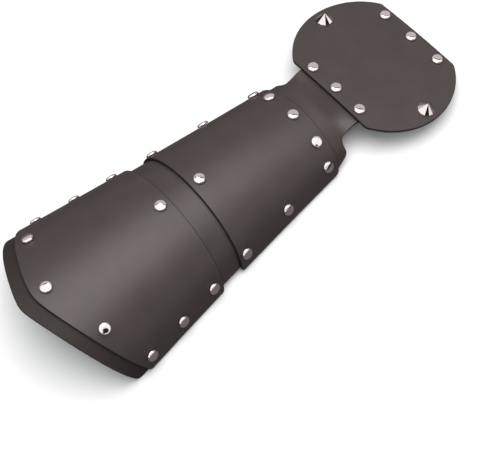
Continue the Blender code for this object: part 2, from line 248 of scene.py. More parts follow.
@dataclass(frozen=True)
class Layers:
    """How the sheets lie on each other."""

    leather: float = 0.0022
    strap: float = 0.0020
    gap: float = 0.0003
    back_seat: float = 0.0005
    edge_radius: float = 0.0005

    @property
    def plate_lift(self) -> float:
        """From the inner face of the sheet below to the inner face of a plate."""
        return self.leather + self.gap

    @property
    def cap_lift(self) -> float:
        """From the inner face of the sheet below to the underside of a stud's cap."""
        return self.plate_lift + self.leather + self.gap


SLEEVE_FORM = SleeveForm()
HAND_FORM = HandForm()
LAYERS = Layers()
OVERALL_LENGTH = lifted(
    HAND_FORM.face, HAND_FORM.plate_length, 0.0, LAYERS.plate_lift + LAYERS.leather
).point.x


def centred(point: Vector) -> Vector:
    """Moves a point so that the length lies evenly on both sides of the origin."""
    return Vector((point.x - 0.5 * OVERALL_LENGTH, point.y, point.z))


# Meshes and objects


def mesh_data(name: str, mesh: BMesh) -> bpy.types.Mesh:
    """Stores a finished mesh, and frees the working one.

    Args:
        name: the stored mesh's name.
        mesh: the working mesh.

    Returns:
        The stored mesh.
    """
    data = bpy.data.meshes.new(name)
    mesh.to_mesh(data)
    mesh.free()
    return data


def in_scene(name: str, data: bpy.types.ID) -> Item:
    """Adds an object to the scene.

    Args:
        name: the object's name.
        data: the mesh, light or camera that it shows.

    Returns:
        The object.
    """
    item = bpy.data.objects.new(name, data)
    bpy.context.scene.collection.objects.link(item)
    return item


def even_shading(item: Item, weight: int, keep_sharp: bool = False) -> None:
    """Keeps the shading of broad faces flat next to narrow ones.

    Args:
        item: the piece.
        weight: how much more the broad faces count.
        keep_sharp: whether its sharp edges stay sharp.
    """
    level = item.modifiers.new("even shading", "WEIGHTED_NORMAL")
    level.weight = weight
    level.keep_sharp = keep_sharp


# Shader nodes


def feed(
    tree: Tree,
    node: bpy.types.Node,
    values: dict[str | int, Socket | float | Sequence[float]],
) -> None:
    """Links or sets a node's inputs.

    Args:
        tree: the node tree.
        node: the node.
        values: a socket, or a plain value, for each input's name or number.
    """
    for name, value in values.items():
        if isinstance(value, Socket):
            tree.links.new(value, node.inputs[name])
        else:
            node.inputs[name].default_value = value


def add_math(tree: Tree, operation: str, *values: Socket | float) -> Socket:
    """Adds a Math node.

    Args:
        tree: the node tree.
        operation: the node's operation.
        *values: a socket or a number for each input.

    Returns:
        The node's output.
    """
    node = tree.nodes.new("ShaderNodeMath")
    node.operation = operation
    feed(tree, node, dict(enumerate(values)))
    return node.outputs[0]


def add_dot(tree: Tree, way: Socket, other: Triple) -> Socket:
    """Reads how far a direction points another way, from -1 to 1.

    Args:
        tree: the node tree.
        way: the direction.
        other: the other way.

    Returns:
        The value.
    """
    node = tree.nodes.new("ShaderNodeVectorMath")
    node.operation = "DOT_PRODUCT"
    feed(tree, node, {0: way, 1: other})
    return node.outputs["Value"]


def add_step(tree: Tree, value: Socket, low: float, high: float) -> Socket:
    """Rises smoothly from 0 at the low value to 1 at the high one.

    Args:
        tree: the node tree.
        value: the value that is read.
        low: where the rise starts.
        high: where the rise ends.

    Returns:
        The risen value.
    """
    node = tree.nodes.new("ShaderNodeMapRange")
    node.interpolation_type = "SMOOTHSTEP"
    feed(tree, node, {"Value": value, "From Min": low, "From Max": high})
    return node.outputs["Result"]


def add_blend(tree: Tree, share: Socket, first: Socket | Triple, second: Socket | Triple) -> Socket:
    """Goes from the first colour to the second.

    Args:
        tree: the node tree.
        share: how much of the second colour is shown.
        first: a socket or a plain colour.
        second: a socket or a plain colour.

    Returns:
        The blended colour.
    """
    node = tree.nodes.new("ShaderNodeMix")
    node.data_type = "RGBA"
    feed(tree, node, {"Factor": share})
    for name, colour in (("A", first), ("B", second)):
        feed(tree, node, {name: (*colour, 1.0) if isinstance(colour, tuple) else colour})
    return node.outputs["Result"]


def add_noise(tree: Tree, scale: Socket | float, detail: float, rough: float) -> Socket:
    """Adds a noise on the object's own coordinates.

    Args:
        tree: the node tree.
        scale: a socket or a number, in waves to the metre.
        detail: how many finer layers it has.
        rough: how strong they are.

    Returns:
        The noise's value.
    """
    place = tree.nodes.new("ShaderNodeTexCoord").outputs["Object"]
    noise = tree.nodes.new("ShaderNodeTexNoise")
    feed(tree, noise, {"Vector": place, "Scale": scale, "Detail": detail, "Roughness": rough})
    return noise.outputs["Fac"]


def new_group(
    name: str, inputs: Sequence[tuple[str, float]], outputs: Sequence[str]
) -> tuple[Tree, bpy.types.Node, bpy.types.Node]:
    """Starts a shader node group of values with its sockets.

    Args:
        name: the group's name.
        inputs: name and default of each input.
        outputs: name of each output.

    Returns:
        The group's tree, its input node and its output node.
    """
    tree = bpy.data.node_groups.new(name, "ShaderNodeTree")
    for label, default in inputs:
        socket = tree.interface.new_socket(label, in_out="INPUT", socket_type="NodeSocketFloat")
        socket.default_value = default
    for label in outputs:
        tree.interface.new_socket(label, in_out="OUTPUT", socket_type="NodeSocketFloat")
    return tree, tree.nodes.new("NodeGroupInput"), tree.nodes.new("NodeGroupOutput")


def leather_grain_group() -> Tree:
    """The leather's fine pores and broad unevenness.

    Returns:
        A group with a height for a Bump node and a mottle from 0 to 1.
    """
    inputs = (("Pores", 900.0), ("Pore depth", 0.3), ("Waves", 26.0), ("Wave depth", 1.0))
    tree, given, result = new_group("leather grain", inputs, ("Height", "Mottle"))
    pores = add_noise(tree, given.outputs["Pores"], detail=3.0, rough=0.6)
    waves = add_noise(tree, given.outputs["Waves"], detail=1.0, rough=0.4)
    fine = add_math(tree, "MULTIPLY", pores, given.outputs["Pore depth"])
    broad = add_math(tree, "MULTIPLY", waves, given.outputs["Wave depth"])
    mottle = add_noise(tree, scale=45.0, detail=4.0, rough=0.55)
    feed(tree, result, {"Height": add_math(tree, "ADD", fine, broad), "Mottle": mottle})
    return tree


def handling_group() -> Tree:
    """The faint uneven polish that hands and tools leave on leather and metal.

    Returns:
        A group with a roughness that varies round a given value, and a mask from 0 to 1.
    """
    inputs = (("Roughness", 0.4), ("Spread", 0.08), ("Scale", 120.0))
    tree, given, result = new_group("handling marks", inputs, ("Roughness", "Mask"))
    marks = add_noise(tree, given.outputs["Scale"], detail=5.0, rough=0.65)
    swing = add_math(tree, "MULTIPLY", add_math(tree, "SUBTRACT", marks, 0.5), given.outputs["Spread"])
    varied = add_math(tree, "ADD", given.outputs["Roughness"], swing)
    feed(tree, result, {"Roughness": varied, "Mask": marks})
    return tree


GROUPS: dict[str, Tree] = {}


def placed_group(tree: Tree, name: str, values: dict[str, float]) -> bpy.types.Node:
    """Places a shared node group in a material.

    Args:
        tree: the material's node tree.
        name: the group's key in GROUPS.
        values: the material's own values for the group's inputs.

    Returns:
        The group node.
    """
    node = tree.nodes.new("ShaderNodeGroup")
    node.node_tree = GROUPS[name]
    feed(tree, node, values)
    return node


def colour_ramp(
    tree: Tree,
    value: Socket,
    span: tuple[float, float],
    colours: Sequence[Triple],
) -> Socket:
    """Colours a value between two stops.

    Args:
        tree: the material's node tree.
        value: the socket that holds the value.
        span: where the first colour ends and where the second one starts.
        colours: the two colours.

    Returns:
        The colour's socket.
    """
    ramp = tree.nodes.new("ShaderNodeValToRGB")
    for element, position, colour in zip(ramp.color_ramp.elements, span, colours):
        element.position = position
        element.color = (*colour, 1.0)
    feed(tree, ramp, {"Fac": value})
    return ramp.outputs["Color"]


def new_material(label: str) -> tuple[bpy.types.Material, Tree, bpy.types.Node]:
    """Starts a material.

    Args:
        label: the material's name.

    Returns:
        The material, its node tree and its Principled shader.
    """
    material = bpy.data.materials.new(label)
    material.use_nodes = True
    return material, material.node_tree, material.node_tree.nodes["Principled BSDF"]


# Finishes


@dataclass(frozen=True)
class LeatherFinish:
    """One kind of leather surface: its two tints, its gloss and its grain."""

    label: str
    deep: Triple
    light: Triple
    roughness: float
    specular: float = 0.5
    coat: float = 0.0
    coat_roughness: float = 0.3
    sheen: float = 0.0
    pores: float = 900.0
    pore_depth: float = 0.3
    bump: float = 0.3
    bump_distance: float = 0.001
    mottle_span: tuple[float, float] = (0.3, 0.7)

    def material(self) -> bpy.types.Material:
        """Builds the finish.

        Returns:
            The material.
        """
        material, tree, shader = new_material(self.label)
        grain = placed_group(tree, "grain", {"Pores": self.pores, "Pore depth": self.pore_depth})
        marks = placed_group(tree, "marks", {"Roughness": self.roughness})
        bump = tree.nodes.new("ShaderNodeBump")
        feed(tree, bump, {
            "Strength": self.bump,
            "Distance": self.bump_distance,
            "Height": grain.outputs["Height"],
        })
        tints = (self.deep, self.light)
        feed(tree, shader, {
            "Base Color": colour_ramp(tree, grain.outputs["Mottle"], self.mottle_span, tints),
            "Roughness": marks.outputs["Roughness"],
            "Normal": bump.outputs["Normal"],
            "Specular IOR Level": self.specular,
            "Coat Weight": self.coat,
            "Coat Roughness": self.coat_roughness,
            "Sheen Weight": self.sheen,
        })
        return material


@dataclass(frozen=True)
class ChromeFinish:
    """Polished chrome, with the faintest uneven polish."""

    label: str
    colour: Triple = (0.86, 0.84, 0.83)
    roughness: float = 0.07
    spread: float = 0.05
    mark_scale: float = 700.0
    marked_shade: float = 0.93
    mark_span: tuple[float, float] = (0.35, 0.65)

    def material(self) -> bpy.types.Material:
        """Builds the finish.

        Returns:
            The material.
        """
        material, tree, shader = new_material(self.label)
        values = {"Roughness": self.roughness, "Spread": self.spread, "Scale": self.mark_scale}
        marks = placed_group(tree, "marks", values)
        tints = (tuple(self.marked_shade * value for value in self.colour), self.colour)
        feed(tree, shader, {
            "Base Color": colour_ramp(tree, marks.outputs["Mask"], self.mark_span, tints),
            "Roughness": marks.outputs["Roughness"],
            "Metallic": 1.0,
        })
        return material


SMOOTH_GRAIN = LeatherFinish(
    "smooth dark leather", (0.029, 0.0215, 0.0207), (0.037, 0.0278, 0.0266), 0.45,
    coat=0.06, coat_roughness=0.40,
)
SUEDE_BACK = LeatherFinish(
    "suede leather back", (0.060, 0.046, 0.038), (0.085, 0.066, 0.054), 0.85,
    specular=0.2, sheen=0.15, pores=1500.0, pore_depth=0.9, bump=0.5,
)
# Painted shade: the same leather in darker tints, put on the sleeve's grain at the elbow rim to stand
# for the shade that falls there.
PAINTED_SHADE_LEATHER = LeatherFinish(
    "leather with painted shade at the rim", (0.0150, 0.0116, 0.0104), (0.0200, 0.0155, 0.0140), 0.60, specular=0.30
)
# The cut edge is partly its own dark waxed colour and partly painted shade: it is made near-black so
# that edges facing the camera read as the dark shadow line under each plate.
CUT_EDGE = LeatherFinish(
    "waxed cut edge with painted shade", (0.010, 0.008, 0.007), (0.018, 0.014, 0.013), 0.60, specular=0.25,
    pores=2200.0, pore_depth=0.6, bump=0.4,
)
STRAP_GRAIN = LeatherFinish(
    "smooth strap leather", (0.026, 0.020, 0.0185), (0.034, 0.0265, 0.0245), 0.5, coat=0.1
)
RIVET_CHROME = ChromeFinish("polished rivet chrome")
CONE_CHROME = ChromeFinish("polished cone chrome", roughness=0.05)


class Workshop:
    """Keeps the finished materials, and adds meshes to the part as pieces of it."""

    def __init__(self) -> None:
        """Builds the shared node groups."""
        GROUPS["grain"] = leather_grain_group()
        GROUPS["marks"] = handling_group()
        self.materials: dict[str, bpy.types.Material] = {}
        self.cutter: Item | None = None

    def material(self, finish: LeatherFinish | ChromeFinish) -> bpy.types.Material:
        """The material of a finish, built the first time it is asked for.

        Args:
            finish: the finish.

        Returns:
            The material.
        """
        if finish.label not in self.materials:
            self.materials[finish.label] = finish.material()
        return self.materials[finish.label]

    def piece(
        self,
        mesh: BMesh,
        node: str,
        finishes: Sequence[LeatherFinish | ChromeFinish],
        smooth: bool = True,
    ) -> Item:
        """Turns a mesh into a piece of the bracer, in place of a solid.

        Args:
            mesh: the finished mesh, in the model's frame; it is freed.
            node: the solid that the piece stands for.
            finishes: the finishes, in the order of the mesh's material places.
            smooth: whether its faces are shaded smoothly.

        Returns:
            The piece.
        """
        data = mesh_data("fine_" + node, mesh)
        for finish in finishes:
            data.materials.append(self.material(finish))
        data.polygons.foreach_set("use_smooth", [smooth] * len(data.polygons))
        item = in_scene("fine_" + node, data)
        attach(item, BODY)
        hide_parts(node)
        LOG.info("%s: %d faces", item.name, len(data.polygons))
        return item

    def drilled(self, item: Item) -> Item:
        """Cuts the rivet holes of a sheet, and keeps its shading flat next to them.

        Args:
            item: the sheet.

        Returns:
            The same sheet.
        """
        cut = item.modifiers.new("rivet holes", "BOOLEAN")
        cut.operation = "DIFFERENCE"
        cut.solver = "EXACT"
        cut.object = self.cutter
        graph = bpy.context.evaluated_depsgraph_get()
        drilled = bpy.data.meshes.new_from_object(item.evaluated_get(graph))
        item.modifiers.clear()
        item.data = drilled
        even_shading(item, weight=80, keep_sharp=True)
        return item


# Leather sheets


@dataclass(frozen=True)
class CutEdgeShape:
    """The rounded cut edge of a sheet, and how it closes an open surface.

    The surface stops short of the sheet's outline by the edge's radius.
    """

    thickness: float
    radius: float = LAYERS.edge_radius
    steps: int = 3

    def profile(self) -> list[tuple[float, float]]:
        """The section of the edge, between the inner face and the outer one.

        Returns:
            Points (out, up).
        """
        turns = [quarter_turn(step, self.steps) for step in range(1, self.steps + 1)]
        lower = [(self.radius * math.sin(turn), self.radius * (1.0 - math.cos(turn))) for turn in turns]
        return lower + [(out, self.thickness - up) for out, up in reversed(lower)]

    def outward(self, vertex: bmesh.types.BMVert) -> Vector:
        """The way out of the sheet at its edge, long enough to keep a corner's mitre.

        Args:
            vertex: a vertex on the open surface's edge.

        Returns:
            The direction.
        """
        ways = []
        for edge in vertex.link_edges:
            if len(edge.link_faces) == 1:
                face = edge.link_faces[0]
                run = (edge.verts[1].co - edge.verts[0].co).normalized()
                way = run.cross(face.normal).normalized()
                middle = 0.5 * (edge.verts[0].co + edge.verts[1].co)
                if way.dot(face.calc_center_median() - middle) > 0.0:
                    way = -way
                ways.append(way)
        first, second = ways[0], ways[-1]
        return (first + second) / (1.0 + first.dot(second))

    def close(self, mesh: BMesh) -> BMesh:
        """Gives the inner face of a sheet its outer face and its rounded edge.

        Args:
            mesh: the open surface, facing out of the bracer.

        Returns:
            The same mesh, closed.
        """
        mesh.normal_update()
        inner = list(mesh.faces)
        normals = {vertex: vertex.normal.copy() for vertex in mesh.verts}
        rims = [edge for edge in mesh.edges if len(edge.link_faces) == 1]
        ends = {vertex for edge in rims for vertex in edge.verts}
        ways = {vertex: self.outward(vertex) for vertex in ends}
        above = {
            vertex: mesh.verts.new(vertex.co + normal * self.thickness)
            for vertex, normal in normals.items()
        }
        chains = {}
        for vertex in sorted(ends, key=lambda one: one.index):
            between = [
                mesh.verts.new(vertex.co + ways[vertex] * out + normals[vertex] * up)
                for out, up in self.profile()
            ]
            chains[vertex] = [vertex, *between, above[vertex]]
        for face in inner:
            mesh.faces.new([above[vertex] for vertex in face.verts]).material_index = LeatherPart.GRAIN
            face.material_index = LeatherPart.FLESH
        for edge in rims:
            first, second = (chains[vertex] for vertex in edge.verts)
            for low in range(len(first) - 1):
                face = mesh.faces.new((first[low], second[low], second[low + 1], first[low + 1]))
                face.material_index = LeatherPart.CUT_EDGE
        bmesh.ops.recalc_face_normals(mesh, faces=list(mesh.faces))
        return mesh


def surface_of(rows: Sequence[Sequence[Vector]]) -> BMesh:
    """A surface through rows of points, each row as long as the first.

    Args:
        rows: the rows, each towards +Y and one after another towards the fingers.

    Returns:
        The surface, facing up.
    """
    mesh = bmesh.new()
    last = None
    for points in rows:
        row = [mesh.verts.new(centred(point)) for point in points]
        if last:
            bridge(mesh, last, row)
        last = row
    return mesh


def bridge(mesh: BMesh, lower: Sequence, upper: Sequence) -> None:
    """Adds the faces between two rows of vertices."""
    for left in range(len(lower) - 1):
        mesh.faces.new((lower[left], upper[left], upper[left + 1], lower[left + 1]))


@dataclass(frozen=True)
class SheetOutline:
    """The outline of a sheet that lies on the sleeve's form."""

    first: Edge
    last: Edge
    side_inset: Edge
    corner: float
    lift: float
    cell: float = 0.0020
    corner_steps: int = 7

    def half_shares(self, inner: Sequence[float] = (0.0,)) -> list[float]:
        """Shares of the way from the ridge to the side, closer together at the corner.

        Args:
            inner: shares that must be among them, from the ridge outwards.

        Returns:
            The shares, from 0 to 1.
        """
        middle = 0.5 * (self.first(1.0) + self.last(1.0))
        way = SLEEVE_FORM.leather_per_radian(middle) * SLEEVE_FORM.edge_angle
        radius = self.corner - LAYERS.edge_radius
        turns = [quarter_turn(step, self.corner_steps) for step in range(self.corner_steps + 1)]
        corner = [1.0 - radius * (1.0 - math.sin(turn)) / way for turn in turns]
        return list(inner) + evenly(inner[-1], corner[0], self.cell / way)[1:] + corner[1:]

    def row_points(self, shares: Sequence[float]) -> list[list[Vector]]:
        """Rows of points of the inner face, inside the outline by the edge's radius.

        Args:
            shares: the shares across, from one side to the other.

        Returns:
            The rows, from the elbow end.
        """
        rim = LAYERS.edge_radius
        longest = self.last(0.0) - self.first(0.0)
        steps = len(evenly(0.0, longest, self.cell))
        rows: list[list[Vector]] = [[] for _ in range(steps)]
        for share in shares:
            held = min(abs(share), 1.0)
            outside = (1.0 - held) * SLEEVE_FORM.edge_angle
            first = self.first(held) + rim
            last = self.last(held) - rim
            first += corner_cut(self.corner - rim, outside * SLEEVE_FORM.leather_per_radian(first))
            last -= corner_cut(self.corner - rim, outside * SLEEVE_FORM.leather_per_radian(last))
            for index, row in enumerate(rows):
                along = first + (last - first) * index / (steps - 1)
                angle = share * SLEEVE_FORM.side_angle(along, self.side_inset(along) + rim)
                row.append(lifted(SLEEVE_FORM.face, along, angle, self.lift).point)
        return rows


def both_ways(half: Sequence[float]) -> list[float]:
    """Shares from one side to the other."""
    return [-share for share in reversed(half[1:])] + list(half)


LEATHER_FINISHES = (SMOOTH_GRAIN, SUEDE_BACK, CUT_EDGE)


@dataclass
class LeatherSheet:
    """A sheet of leather: its inner face is closed to a sheet, finished and drilled."""

    node: str
    slot: ClassVar[Slot] = Slot.LEATHER
    finishes: ClassVar[Sequence[LeatherFinish]] = LEATHER_FINISHES
    thickness: ClassVar[float] = LAYERS.leather

    def inner_face(self) -> BMesh:
        """The sheet's inner face, as an open surface."""
        raise NotImplementedError

    def closed(self) -> BMesh:
        """The closed sheet."""
        return CutEdgeShape(self.thickness).close(self.inner_face())

    def build(self, shop: Workshop) -> Item:
        """Builds the sheet as a piece, and cuts its rivet holes.

        Args:
            shop: the workshop.

        Returns:
            The piece.
        """
        return shop.drilled(shop.piece(self.closed(), self.node, self.finishes))


@dataclass(frozen=True)
class RivetSpot:
    """Where a plate's rivet stands.

    End 0 is the plate's edge on the elbow side and 1 the one on the hand side. Across is the
    share of the way to the row along the side. Inset is the share of the usual inset.
    """

    label: str
    end: float
    across: float
    inset: float = 1.0


@dataclass
class CurvedPlate(LeatherSheet):
    """One of the two curved plates on the sleeve, with its rows of rivets."""

    outline: SheetOutline
    first_inset: float
    spots: Sequence[RivetSpot]
    seam_inset: float = 0.0087
    side_row: float = 0.0125
    side_inset: float = 0.0014

    def inner_face(self) -> BMesh:
        """The plate's inner face."""
        return surface_of(self.outline.row_points(both_ways(self.outline.half_shares())))

    def row_angle(self, along: float, across: float) -> float:
        """The section angle of a rivet, at a share of the way to the side row."""
        return across * SLEEVE_FORM.side_angle(along, self.side_inset + self.side_row)

    def row_along(self, edge: Edge, across: float, inset: float) -> float:
        """How far along a rivet lies, inset from one of the plate's end edges.

        Args:
            edge: the end edge.
            across: the share of the way to the row along the side.
            inset: the distance from the edge.

        Returns:
            The distance from the elbow peak.
        """
        near = edge(across)
        side = SLEEVE_FORM.side_angle(near, self.side_inset)
        return edge(self.row_angle(near, across) / side) + inset

    def spot_along(self, spot: RivetSpot) -> float:
        """How far along a rivet lies: one between the ends shares out its two corners.

        Args:
            spot: the rivet's spot.

        Returns:
            The distance from the elbow peak.
        """
        if spot.end == 0.0:
            return self.row_along(self.outline.first, spot.across, self.first_inset * spot.inset)
        if spot.end == 1.0:
            return self.row_along(self.outline.last, spot.across, -self.seam_inset * spot.inset)
        corners = [other for other in self.spots if other.across == 1.0 and other.end in (0.0, 1.0)]
        first, last = [self.spot_along(corner) for corner in corners]
        return first + (last - first) * spot.end

    def strap_middle(self) -> float:
        """How far along the plate's side rivets, which hold a strap too, lie."""
        return self.spot_along(next(spot for spot in self.spots if spot.label == "side"))

    def studs(self) -> list[Stud]:
        """The plate's rivets.

        Returns:
            The rivets, each where it stands.
        """
        made = []
        for spot in self.spots:
            along = self.spot_along(spot)
            angle = self.row_angle(along, spot.across)
            grip = LAYERS.cap_lift + LAYERS.back_seat
            if spot.label == "side":
                grip += LAYERS.gap + LAYERS.strap
            label = self.node.replace("_plate", "_rivet_") + spot.label
            for name, sign in sided(label, spot.across):
                place = lifted(SLEEVE_FORM.face, along, sign * angle, LAYERS.cap_lift)
                made.append(Stud(name, place, grip))
        return made


@dataclass
class Sleeve(LeatherSheet):
    """The half sleeve, which runs on into the tongue under the hand plate."""

    outline: SheetOutline
    root_width: float = 0.0640
    end_width: float = 0.0720
    reach: float = 0.0187
    cover: float = 0.0030
    # Painted shade: grain up to this distance from the elbow peak gets the darker rim leather.
    painted_shade_end: float = 0.0550
    fillet: float = 0.0045
    fillet_steps: int = 8
    cell: float = 0.0020
    finishes: ClassVar[Sequence[LeatherFinish]] = (*LEATHER_FINISHES, PAINTED_SHADE_LEATHER)

    @property
    def tongue_length(self) -> float:
        """From the sleeve's wrist end to the tongue's end."""
        return self.reach + HAND_FORM.plate_length - self.cover

    def half_width(self, forward: float) -> float:
        """Half the tongue's width, with its rounded inner corners.

        Args:
            forward: the distance from the sleeve's wrist end.

        Returns:
            The half width of the rows.
        """
        rim = LAYERS.edge_radius
        widening = (self.end_width - self.root_width) * forward / self.tongue_length
        radius = self.fillet + rim
        return 0.5 * (self.root_width + widening) - rim + corner_cut(radius, forward + rim)

    def tongue_point(self, forward: float, share: float) -> Vector:
        """A point of the tongue's inner face.

        Args:
            forward: the distance from the sleeve's wrist end.
            share: the share across, from -1 to 1.

        Returns:
            The point.
        """
        half = self.half_width(forward)
        along = SLEEVE_FORM.length + forward
        wrist = SLEEVE_FORM.axes(SLEEVE_FORM.length - LAYERS.edge_radius)[0]
        angle = share * math.asin(half / wrist)
        sleeve = SLEEVE_FORM.face(along, angle)
        hand = HAND_FORM.face(forward - self.reach, share * half)
        return sleeve.lerp(hand, smooth_step(forward / self.reach))

    def inner_face(self) -> BMesh:
        """The sleeve's inner face, with the tongue's joined to it.

        Returns:
            The open surface.
        """
        end = SLEEVE_FORM.length - LAYERS.edge_radius
        root_angle = math.asin(self.half_width(-LAYERS.edge_radius) / SLEEVE_FORM.axes(end)[0])
        inset = self.outline.side_inset(end) + LAYERS.edge_radius
        root = root_angle / SLEEVE_FORM.side_angle(end, inset)
        middle = evenly(0.0, root, self.cell / (2.0 * SLEEVE_FORM.leather_per_radian(end)))
        shares = both_ways(self.outline.half_shares(middle))
        mesh = surface_of(self.outline.row_points(shares))
        mesh.verts.ensure_lookup_table()
        start = len(mesh.verts) - len(shares)
        kept = [index for index, share in enumerate(shares) if abs(share) < root + TINY]
        last = [mesh.verts[start + index] for index in kept]
        for forward in self.tongue_rows():
            points = [self.tongue_point(forward, shares[index] / root) for index in kept]
            row = [mesh.verts.new(centred(point)) for point in points]
            bridge(mesh, last, row)
            last = row
        return mesh

    def closed(self) -> BMesh:
        """The closed sheet, with painted shade on its grain at the elbow end: that grain gets a darker
        leather.

        Returns:
            The sheet.
        """
        mesh = super().closed()
        limit = centred(Vector((self.painted_shade_end, 0.0, 0.0))).x
        # Painted shade: grain faces short of the limit take the darker rim leather.
        for face in mesh.faces:
            if face.material_index == LeatherPart.GRAIN and face.calc_center_median().x < limit:
                face.material_index = LeatherPart.SHADE_PAINTED
        return mesh

    def tongue_rows(self) -> list[float]:
        """Places the tongue's rows, closer together in its inner corners.

        Returns:
            Their distances from the sleeve's wrist end.
        """
        rim = LAYERS.edge_radius
        radius = self.fillet + rim
        turns = [quarter_turn(step, self.fillet_steps) for step in range(1, self.fillet_steps + 1)]
        corner = [radius * (1.0 - math.cos(turn)) - rim for turn in turns]
        return corner + evenly(corner[-1], self.tongue_length - rim, self.cell)[1:]


@dataclass
class HandPlate(LeatherSheet):
    """The plate over the back of the hand, with its rivets and its two cones."""

    end_radius: float = 0.0578
    corner_radius: float = 0.0058
    row_inset: float = 0.0074
    back_spacing: float = 0.0263
    front_spacing: float = 0.0295
    cone_inset: float = 0.0104
    rings: int = 22
    straight_steps: int = 14
    corner_steps: int = 8
    end_steps: int = 24

    def quarter(self) -> list[tuple[float, float]]:
        """A quarter of the outline, from a straight edge's middle to one end.

        Returns:
            Points (forward, sideways) from the plate's middle.
        """
        rim = LAYERS.edge_radius
        half_length = 0.5 * HAND_FORM.plate_length - rim
        radius = self.end_radius - rim
        corner = self.corner_radius - rim
        end_centre = 0.5 * HAND_FORM.plate_width - self.end_radius
        forward = half_length - corner
        out = math.sqrt((radius - corner) ** 2 - forward**2)
        side = end_centre + out
        turn = math.atan2(out, forward)
        straight = self.straight_steps
        points = [(half_length, side * step / straight) for step in range(straight)]
        for step in range(self.corner_steps):
            angle = turn * step / self.corner_steps
            points.append((forward + corner * math.cos(angle), side + corner * math.sin(angle)))
        for step in range(self.end_steps + 1):
            angle = turn + (0.5 * math.pi - turn) * step / self.end_steps
            points.append((radius * math.cos(angle), end_centre + radius * math.sin(angle)))
        return points

    def outline(self) -> list[tuple[float, float]]:
        """The whole outline, anticlockwise.

        Returns:
            Points (forward, sideways) from the plate's middle.
        """
        front = self.quarter()
        left = front + [(-forward, side) for forward, side in reversed(front[:-1])]
        return left + [(forward, -side) for forward, side in reversed(left[1:-1])]

    def inner_face(self) -> BMesh:
        """The plate's inner face, in rings round its middle.

        Returns:
            The open surface.
        """
        mesh = bmesh.new()
        outline = self.outline()
        middle = mesh.verts.new(self.point(0.0, 0.0))
        last = None
        for step in range(1, self.rings + 1):
            share = step / self.rings
            row = [mesh.verts.new(self.point(share * ahead, share * side)) for ahead, side in outline]
            for index in range(len(row)):
                after = (index + 1) % len(row)
                if last:
                    mesh.faces.new((last[index], row[index], row[after], last[after]))
                else:
                    mesh.faces.new((middle, row[index], row[after]))
            last = row
        return mesh

    def point(self, forward: float, sideways: float) -> Vector:
        """A point of the plate's inner face, from its middle."""
        middle = 0.5 * HAND_FORM.plate_length
        return centred(lifted(HAND_FORM.face, middle + forward, sideways, LAYERS.plate_lift).point)

    def rivets(self) -> list[Stud]:
        """The plate's rivets, through the tongue, in two rows.

        Returns:
            The rivets, each where it stands.
        """
        rows = (
            ("back", self.row_inset, self.back_spacing),
            ("front", HAND_FORM.plate_length - self.row_inset, self.front_spacing),
        )
        made = []
        for row, forward, spacing in rows:
            for spot, sideways in (("centre", 0.0), ("corner", spacing)):
                for name, sign in sided("hand_rivet_" + row + "_" + spot, sideways):
                    place = lifted(HAND_FORM.face, forward, sign * sideways, LAYERS.cap_lift)
                    made.append(Stud(name, place, LAYERS.cap_lift + LAYERS.back_seat))
        return made

    def cones(self) -> list[Stud]:
        """The two cones, through the plate alone.

        Returns:
            The cones, each where it stands.
        """
        grip = LAYERS.gap + LAYERS.leather + LAYERS.back_seat
        made = []
        for name, sign in sided("hand_cone", 1.0):
            sideways = sign * (0.5 * HAND_FORM.plate_width - self.cone_inset)
            place = lifted(HAND_FORM.face, 0.5 * HAND_FORM.plate_length, sideways, LAYERS.cap_lift)
            made.append(Stud(name, place, grip))
        return made


@dataclass
class ClosingStrap(LeatherSheet):
    """A plain strap under the forearm, from one side rivet of a plate to the other."""

    plate: CurvedPlate
    width: float = 0.0200
    lap: float = 0.0080
    lift: float = 0.0006
    bend: float = 0.0050
    steps: int = 10
    cell: float = 0.0020
    slot: ClassVar[Slot] = Slot.STRAP
    finishes: ClassVar[Sequence[LeatherFinish]] = (STRAP_GRAIN, SUEDE_BACK, CUT_EDGE)
    thickness: ClassVar[float] = LAYERS.strap

    def half_path(self, along: float, angle_top: float) -> list[Place]:
        """Half of the strap's middle surface: down the wall, round the bend, to the centre.

        Args:
            along: the distance from the elbow peak.
            angle_top: the section angle of the strap's end.

        Returns:
            Points, with the way out of the bracer at each.
        """
        middle = 0.5 * LAYERS.strap
        floor = self.lift + middle
        up = SLEEVE_FORM.axes(along)[1]
        angle_low = math.acos((floor + self.bend) / up + math.cos(SLEEVE_FORM.edge_angle))
        places = []
        for step in range(self.steps + 1):
            angle = angle_top + (angle_low - angle_top) * step / self.steps
            places.append(lifted(SLEEVE_FORM.face, along, angle, -LAYERS.gap - middle))
        wall = places[-1]
        ahead = SLEEVE_FORM.face(along, angle_low + PROBE)
        slope = (ahead - SLEEVE_FORM.face(along, angle_low - PROBE)).normalized()
        corner = wall.point + slope * ((wall.point.z - floor) / -slope.z)
        landing = Vector((along, corner.y - self.bend, floor))
        down = Vector((0.0, 0.0, -1.0))
        for step in range(1, self.steps + 1):
            share = step / self.steps
            first = wall.point.lerp(corner, share)
            second = corner.lerp(landing, share)
            run = (second - first).normalized()
            way = Vector((0.0, -run.z, run.y))
            places.append(Place(first.lerp(second, share), way if way.z < 0.0 else -way))
        for step in range(1, 2 * self.steps + 1):
            sideways = landing.y * (1.0 - 0.5 * step / self.steps)
            places.append(Place(Vector((along, sideways, floor)), down))
        return places

    def inner_face(self) -> BMesh:
        """The strap's face towards the arm.

        Returns:
            The open surface.
        """
        centre = self.plate.strap_middle()
        held = self.plate.row_angle(centre, 1.0)
        half = 0.5 * self.width - LAYERS.edge_radius
        lap = self.lap - LAYERS.edge_radius
        rows = []
        for along in evenly(centre - half, centre + half, self.cell):
            angle_top = held - lap / SLEEVE_FORM.leather_per_radian(along)
            left = self.half_path(along, angle_top)
            inner = [place.point - place.normal * (0.5 * LAYERS.strap) for place in left]
            right = [Vector((point.x, -point.y, point.z)) for point in inner[:-1]]
            rows.append(inner + right[::-1])
        return surface_of(rows)


# Rivets and cones


